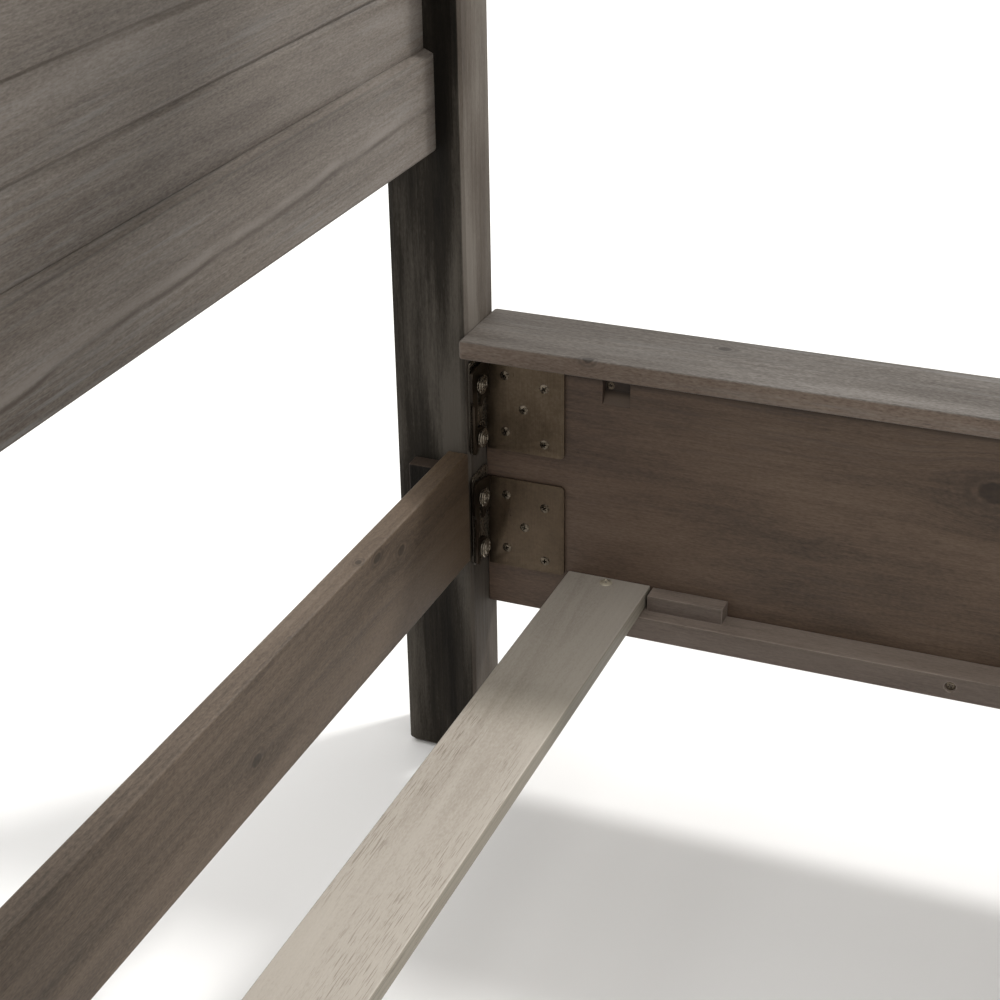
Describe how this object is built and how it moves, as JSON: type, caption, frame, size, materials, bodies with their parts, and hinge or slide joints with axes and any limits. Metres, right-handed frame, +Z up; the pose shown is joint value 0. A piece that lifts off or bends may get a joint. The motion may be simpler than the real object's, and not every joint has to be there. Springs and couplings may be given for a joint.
{
  "type": "bunk bed with ladder",
  "caption": "Wooden twin bunk bed with planked ends, slatted decks, guard rails, a hook-on ladder and a lower deck that hangs on steel hook plates.",
  "frame": {"origin": "on the floor, under the middle of the bed and its ladder together", "axes": "+X from the head end to the foot end, +Y from the ladder side to the wall side, +Z up"},
  "size_m": [2.066, 1.1902, 1.64],
  "materials": {
    "weathered_wood": "grey-brown driftwood stain, wire-brushed, satin",
    "dark_weathered_wood": "dark driftwood stain, wire-brushed, satin",
    "brown_wood": "warm brown stain, satin",
    "bare_wood": "pale wood, planed and unfinished",
    "bronze_steel": "dark antique-bronze plated steel, slightly mottled"
  },
  "bodies": {
    "bed_frame": {"lower_head_bottom_rail": "weathered_wood", "lower_head_panel": "weathered_wood", "lower_head_top_rail": "weathered_wood", "upper_head_panel": "weathered_wood", "upper_head_top_rail": "weathered_wood", "head_stretcher": "brown_wood", "lower_foot_bottom_rail": "weathered_wood", "lower_foot_panel": "weathered_wood", "lower_foot_top_rail": "weathered_wood", "upper_foot_panel": "weathered_wood", "upper_foot_top_rail": "weathered_wood", "foot_stretcher": "brown_wood", "post_head_wall": "dark_weathered_wood", "stretcher_cleat_head_wall": "brown_wood", "stud_plate_head_wall_low": "bronze_steel", "stud_plate_head_wall_high": "bronze_steel", "post_head_front": "dark_weathered_wood", "stretcher_cleat_head_front": "brown_wood", "stud_plate_head_front_low": "bronze_steel", "stud_plate_head_front_high": "bronze_steel", "post_foot_wall": "dark_weathered_wood", "stretcher_cleat_foot_wall": "brown_wood", "stud_plate_foot_wall_low": "bronze_steel", "stud_plate_foot_wall_high": "bronze_steel", "post_foot_front": "dark_weathered_wood", "stretcher_cleat_foot_front": "brown_wood", "stud_plate_foot_front_low": "bronze_steel", "stud_plate_foot_front_high": "bronze_steel", "upper_side_rail_wall": "weathered_wood", "upper_side_rail_front": "weathered_wood", "upper_slat_1": "bare_wood", "upper_slat_2": "bare_wood", "upper_slat_3": "bare_wood", "upper_slat_4": "bare_wood", "guard_rail_wall": "weathered_wood", "guard_rail_front": "weathered_wood"},
    "lower_deck": {"hook_plate_head_wall_low": "bronze_steel", "hook_plate_head_wall_high": "bronze_steel", "hook_plate_head_front_low": "bronze_steel", "hook_plate_head_front_high": "bronze_steel", "hook_plate_foot_wall_low": "bronze_steel", "hook_plate_foot_wall_high": "bronze_steel", "hook_plate_foot_front_low": "bronze_steel", "hook_plate_foot_front_high": "bronze_steel", "lower_side_rail_wall": "brown_wood", "lower_rail_cap_wall": "weathered_wood", "lower_slat_ledger_wall": "brown_wood", "lower_side_rail_front": "brown_wood", "lower_rail_cap_front": "weathered_wood", "lower_slat_ledger_front": "brown_wood", "lower_slat_1": "bare_wood", "lower_slat_2": "bare_wood", "lower_slat_3": "bare_wood", "lower_slat_4": "bare_wood"},
    "ladder": {"ladder_tread_1": "weathered_wood", "ladder_tread_2": "weathered_wood", "ladder_tread_3": "weathered_wood", "ladder_tread_4": "weathered_wood", "ladder_stile_left": "weathered_wood", "ladder_stile_right": "weathered_wood"}
  },
  "joints": [
    {"name": "lower_deck_lift_off", "type": "slide", "parent": "bed_frame", "child": "lower_deck", "axis": [0, 0, 1], "range_m": [0, 0.025]},
    {"name": "ladder_lift_off", "type": "slide", "parent": "bed_frame", "child": "ladder", "axis": [0, 0, 1], "range_m": [0, 0.06]}
  ]
}
